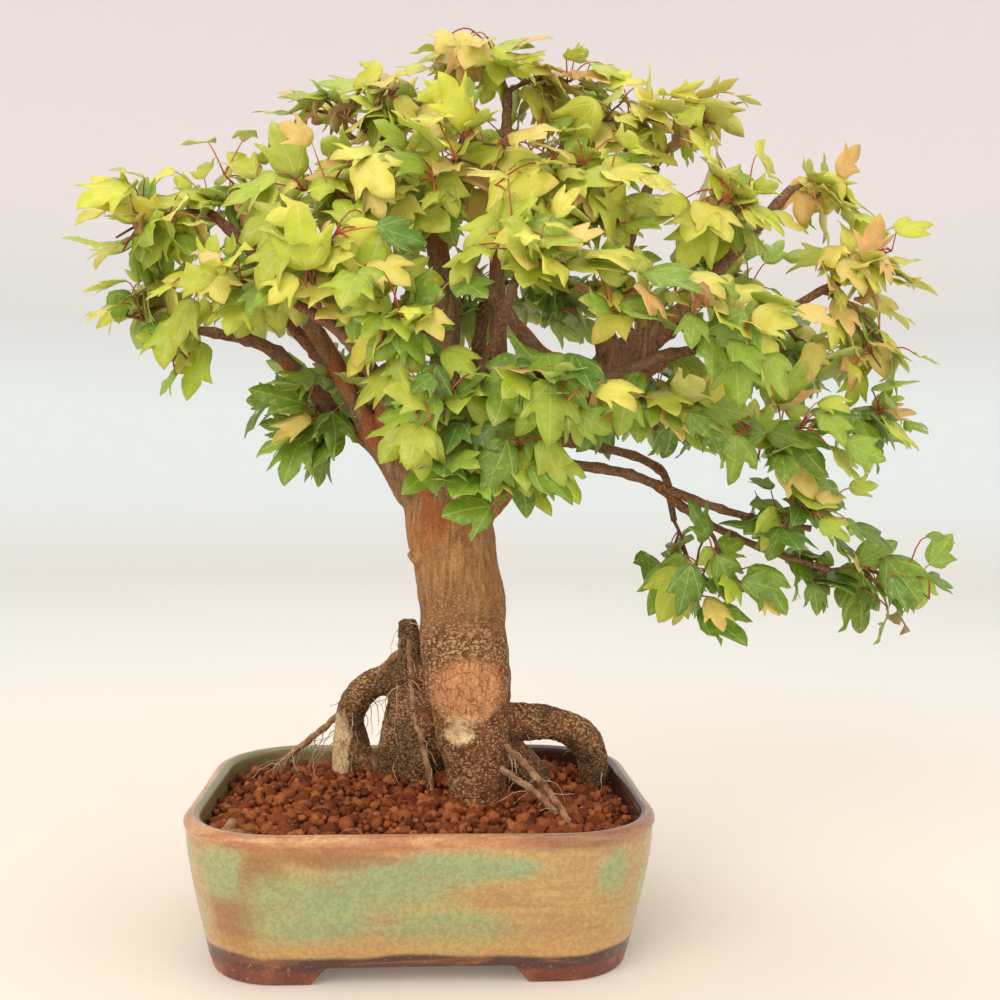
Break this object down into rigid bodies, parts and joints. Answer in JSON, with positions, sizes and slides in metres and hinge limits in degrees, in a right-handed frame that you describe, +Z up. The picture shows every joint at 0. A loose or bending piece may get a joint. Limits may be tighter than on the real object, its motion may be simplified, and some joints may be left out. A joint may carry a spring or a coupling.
{
  "type": "bonsai tree in a pot",
  "caption": "Bonsai maple with a thick trunk, arching surface roots and a wide leafy crown, growing in a glazed rectangular pot on short corner feet.",
  "frame": {"origin": "on the ground under the middle of the whole tree's box, which is right of the pot's middle", "axes": "+Z up, the front of the pot faces -Y, +X to its right, along the pot's length"},
  "size_m": [0.3998, 0.1834, 0.4079],
  "materials": {
    "pot_glaze": "glossy",
    "soil_granules": "matt",
    "bark": "rough",
    "leaf": "satin",
    "net_plastic": "matt",
    "clip_wire": "satin"
  },
  "bodies": {
    "root": {"drain_clip_left": "clip_wire", "drain_clip_right": "clip_wire", "drain_net_left": "net_plastic", "drain_net_right": "net_plastic", "pot": "pot_glaze", "shoot_back_left": "leaf", "shoot_back_low_left": "leaf", "shoot_back_low_right": "leaf", "shoot_back_middle": "leaf", "shoot_back_middle_right": "leaf", "shoot_back_right": "leaf", "shoot_back_tip_right": "leaf", "shoot_back_top": "leaf", "shoot_back_upper_left": "leaf", "shoot_cascade_inner": "leaf", "shoot_cascade_left": "leaf", "shoot_cascade_low": "leaf", "shoot_cascade_middle": "leaf", "shoot_cascade_tip": "leaf", "shoot_front_low": "leaf", "shoot_front_low_left": "leaf", "shoot_front_right_low": "leaf", "shoot_left_high": "leaf", "shoot_left_low_hang": "leaf", "shoot_left_middle": "leaf", "shoot_left_middle_high": "leaf", "shoot_left_tip": "leaf", "shoot_left_tip_low": "leaf", "shoot_left_underside": "leaf", "shoot_middle_front": "leaf", "shoot_middle_front_left": "leaf", "shoot_middle_left": "leaf", "shoot_middle_right": "leaf", "shoot_right_high": "leaf", "shoot_right_low": "leaf", "shoot_right_low_tip": "leaf", "shoot_right_middle": "leaf", "shoot_right_middle_low": "leaf", "shoot_right_tip_high": "leaf", "shoot_right_tip_middle": "leaf", "shoot_right_top_tip": "leaf", "shoot_top_left": "leaf", "shoot_top_middle": "leaf", "shoot_top_right": "leaf", "shoot_top_tip_right": "leaf", "shoot_upper_left": "leaf", "shoot_upper_left_tip": "leaf", "shoot_upper_middle": "leaf", "shoot_upper_right_middle": "leaf", "soil": "soil_granules", "trunk_roots_and_branches": "bark"}
  },
  "joints": []
}
